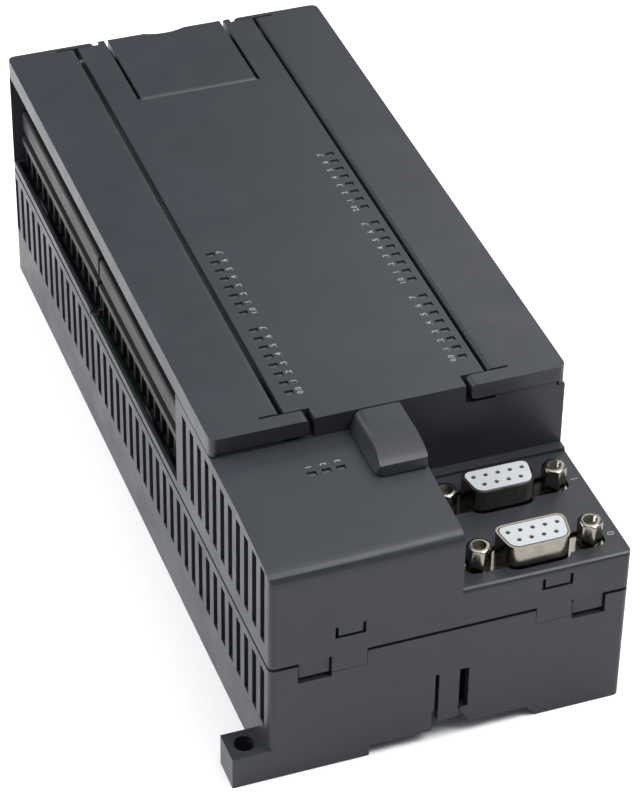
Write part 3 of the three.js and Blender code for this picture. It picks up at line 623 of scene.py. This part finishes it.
def terminal_stations(low, high):
    """Where each terminal of a plug lies along Y."""
    middle = (low.y + high.y) / 2
    last = PLUG["count"] - 1
    return [middle + (i - last / 2) * PLUG["pitch"] for i in range(PLUG["count"])]


def add_terminal_fittings():
    screw = slotted_screw_mesh()
    cage = cage_mesh()
    steel = FINISHES["plated_steel"]
    for row, side in (("output", -1), ("input", 1)):
        for end in ("near", "far"):
            low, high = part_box(f"{row}_terminal_plug_{end}")
            face = high.x if side > 0 else low.x
            screw_x = face - side * PLUG["screw_from_face"]
            clamp_x = screw_x + side * PLUG["clamp_from_screw"]
            stations = terminal_stations(low, high)
            screws = [(screw_x, y, high.z - PLUG["well_from_top"]) for y in stations]
            cages = [(clamp_x, y, low.z + PLUG["entry_from_bottom"]) for y in stations]
            new_piece(f"{row}_screws_{end}", copies(screw, screws), "housing", steel)
            new_piece(f"{row}_clamps_{end}", copies(cage, cages), "housing", BRASS_PLATE)


add_terminal_fittings()

# ---------------------------------------------------------------- detail: expansion header


def pin_mesh():
    """A square pin with a tapered tip."""
    half, reach = PIN["half"], PIN["reach"]
    build = bmesh.new()
    rings = []
    for width, height in ((half, 0), (half, 0.85 * reach), (half / 2, reach)):
        corners = [(-width, -width), (width, -width), (width, width), (-width, width)]
        rings.append([build.verts.new((x, y, height)) for x, y in corners])
    build.faces.new(rings[0])
    build.faces.new(rings[-1])
    for low, high in zip(rings, rings[1:]):
        for i in range(4):
            j = (i + 1) % 4
            build.faces.new((low[i], low[j], high[j], high[i]))
    bmesh.ops.recalc_face_normals(build, faces=build.faces)
    mesh = bpy.data.meshes.new("pin")
    build.to_mesh(mesh)
    build.free()
    return mesh


def add_header_pins():
    centre = centre_of("expansion_header")
    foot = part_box("expansion_header")[1].z - PIN["foot_from_top"]
    places = [
        (
            centre.x + (column - (PIN["columns"] - 1) / 2) * PIN["pitch"],
            centre.y + (row - (PIN["rows"] - 1) / 2) * PIN["pitch"],
            foot,
        )
        for row in range(PIN["rows"])
        for column in range(PIN["columns"])
    ]
    new_piece("expansion_pins", copies(pin_mesh(), places), "housing", BRASS_PLATE)


add_header_pins()

# ------------------------------------------------------------------------ detail: numerals


def numeral_mesh(text, size):
    curve = bpy.data.curves.new("numeral", "FONT")
    curve.body = text
    curve.size = size
    curve.align_x = "CENTER"
    curve.align_y = "CENTER"
    curve.extrude = 0.02 * MM
    curve.resolution_u = 3
    holder = bpy.data.objects.new("numeral", curve)
    mesh = bpy.data.meshes.new_from_object(holder)
    bpy.data.objects.remove(holder)
    return mesh


def print_numerals(name, labels, size):
    """Printed numerals that read along +Y. Each label is text and the point at its middle."""
    build = bmesh.new()
    upright = Matrix.Rotation(math.radians(90), 4, "Z")
    for text, place in labels:
        start = len(build.verts)
        build.from_mesh(numeral_mesh(text, size))
        build.verts.ensure_lookup_table()
        fresh = build.verts[start:]
        bmesh.ops.transform(build, matrix=Matrix.Translation(place) @ upright, verts=fresh)
    mesh = bpy.data.meshes.new(name)
    build.to_mesh(mesh)
    build.free()
    new_piece(name, mesh, "housing", WHITE_PRINT)


def row_labels(guides, offset):
    """A row's labels: group number and point number for the first window, then .1 to .7."""
    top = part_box("upper_housing")[1].z + PANEL_PRINT_LIFT
    labels = []
    for group, guide in enumerate(guides):
        low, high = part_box(guide)
        first = low.y + WINDOW["length"] / 2 - 0.1 * MM
        x = (low.x + high.x) / 2 + offset
        for i in range(WINDOW["count"]):
            text = f"{group}.0" if i == 0 else f".{i}"
            labels.append((text, (x, first + i * WINDOW["pitch"], top)))
    return labels


inputs = [f"input_light_guide_{i}" for i in (3, 2, 1)]
outputs = [f"output_light_guide_{i}" for i in (2, 1)]
print_numerals("input_numerals", row_labels(inputs, -ROW_LABEL_OFFSET), NUMERAL_SIZE)
print_numerals("output_numerals", row_labels(outputs, ROW_LABEL_OFFSET), NUMERAL_SIZE)


def status_labels():
    """Numbers 1 to 3 beyond the three status windows."""
    low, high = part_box("status_light_guide")
    deck = high.z + STATUS_PRINT_LIFT
    middle = (low.x + high.x) / 2
    y = high.y + STATUS_LABEL_GAP
    return [(str(i + 2), (middle + i * STATUS_PITCH, y, deck)) for i in (-1, 0, 1)]


def port_labels():
    """Numbers 0 and 1 at the outer edge of the port deck."""
    labels = []
    for number in (1, 2):
        low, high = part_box(f"port_{number}_shell")
        deck = low.z + PORT_PRINT_LIFT
        labels.append((str(number - 1), (high.x + PORT_LABEL_GAP, (low.y + high.y) / 2, deck)))
    return labels


print_numerals("status_numerals", status_labels(), NUMERAL_SIZE)
print_numerals("port_numerals", port_labels(), PORT_NUMERAL_SIZE)

# ---------------------------------------------------------------------------------- floor


def make_floor():
    build = bmesh.new()
    bmesh.ops.create_grid(build, x_segments=2, y_segments=2, size=FLOOR_HALF_WIDTH)
    mesh = bpy.data.meshes.new("floor")
    build.to_mesh(mesh)
    build.free()
    mesh.materials.append(studio_floor("studio_floor"))
    floor = bpy.data.objects.new("floor", mesh)
    floor.location.z = CAD_BOX[0].z - FLOOR_GAP
    bpy.context.scene.collection.objects.link(floor)


make_floor()
